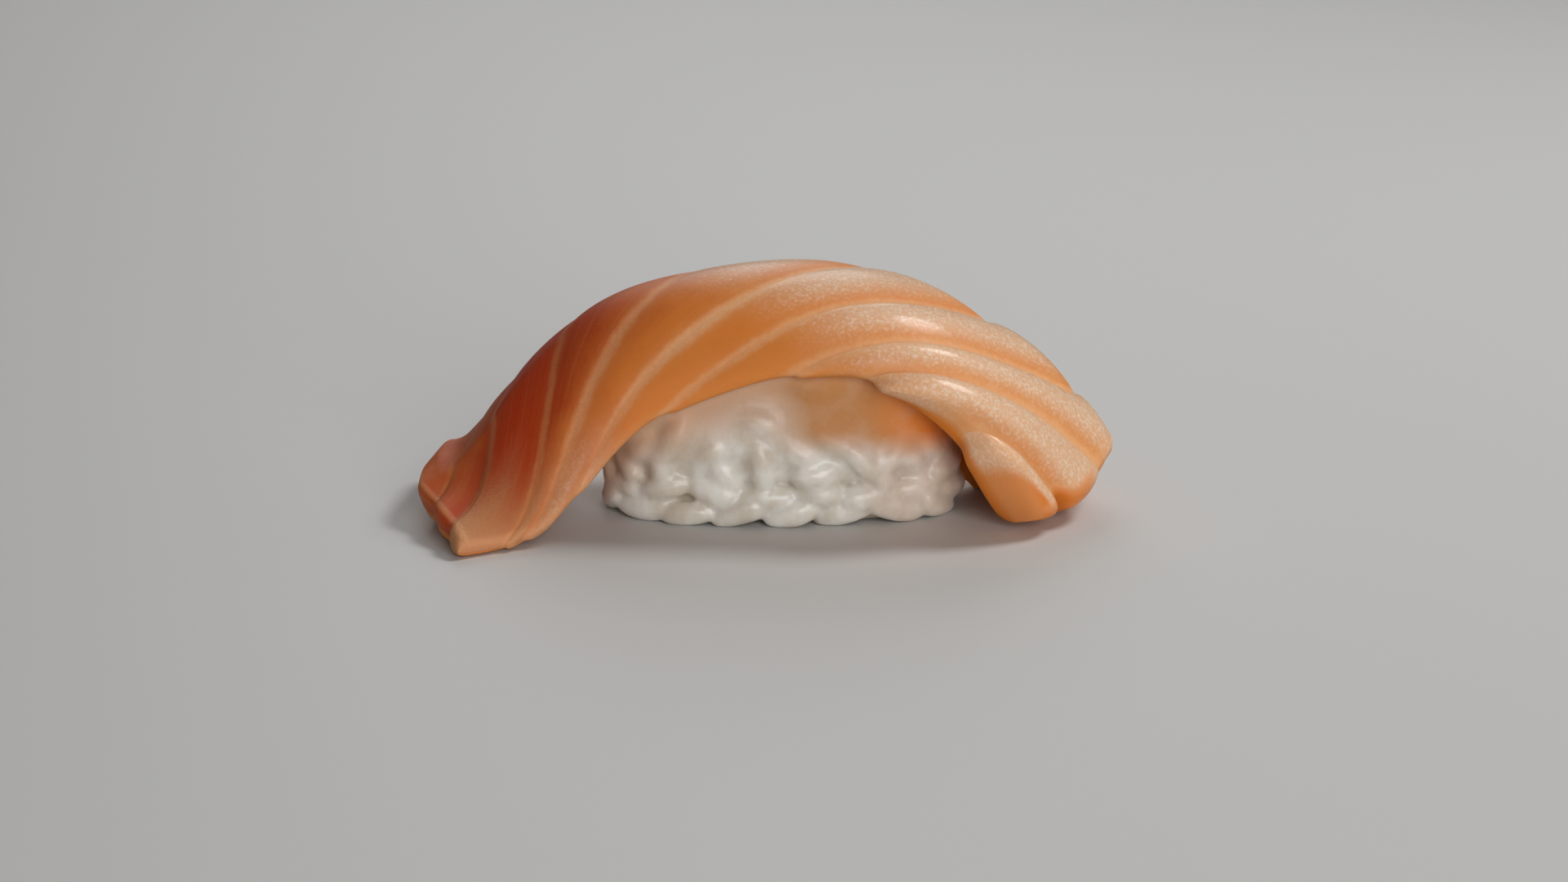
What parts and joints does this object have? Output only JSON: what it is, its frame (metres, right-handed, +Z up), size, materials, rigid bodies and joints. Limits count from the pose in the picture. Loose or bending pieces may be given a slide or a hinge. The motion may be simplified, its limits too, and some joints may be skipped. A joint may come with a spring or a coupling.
{
  "type": "salmon nigiri",
  "caption": "Salmon nigiri: a slice of raw salmon with pale fat lines draped over a hand-pressed ball of rice, both ends reaching the table.",
  "frame": {"origin": "on the table, under the middle of the whole piece's box", "axes": "+X along the piece towards the slice's thick, blunt end; +Y away from the shown side; +Z up"},
  "size_m": [0.0848, 0.0412, 0.0297],
  "materials": {
    "salmon": "raw salmon, moist and translucent, orange with pale peach fat lines",
    "rice": "cooked short-grain rice, sticky, translucent white"
  },
  "bodies": {
    "root": {"salmon_slice": "salmon", "rice_ball": "rice"}
  },
  "joints": []
}
